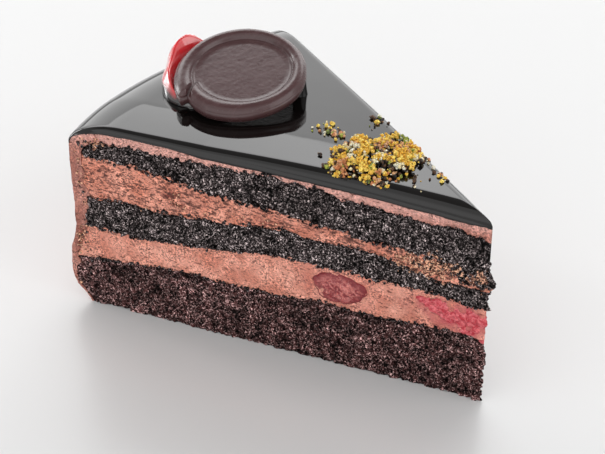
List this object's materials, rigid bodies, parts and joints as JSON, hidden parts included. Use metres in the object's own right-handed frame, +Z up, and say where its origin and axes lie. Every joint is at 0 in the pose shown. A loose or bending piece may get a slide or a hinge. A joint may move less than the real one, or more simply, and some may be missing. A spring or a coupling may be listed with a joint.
{
  "type": "slice of layered chocolate cake",
  "caption": "Wedge of chocolate mousse cake in sponge and mousse layers, under a dark mirror glaze with a plain chocolate medallion, red fruit and biscuit crumbs.",
  "frame": {"origin": "middle of the bounding box's underside, on the flat base of the slice", "axes": "+X from the round rim to the tip of the wedge, +Y to the second cut face, +Z up"},
  "size_m": [0.1248, 0.0838, 0.0719],
  "materials": {
    "sponge": "matte, crumbly",
    "mousse": "matte, soft",
    "glaze": "mirror gloss",
    "medallion": "satin",
    "glazed_fruit": "wet gloss",
    "cut_cherry": "moist"
  },
  "bodies": {
    "root": {"sponge_bottom": "sponge", "mousse_lower": "mousse", "sponge_middle": "sponge", "mousse_middle": "mousse", "sponge_top": "sponge", "mousse_coat": "mousse", "glaze": "glaze", "medallion": "medallion", "glazed_fruit": "glazed_fruit", "cherry_in_face": "cut_cherry", "cherry_in_tip": "cut_cherry"}
  },
  "joints": []
}
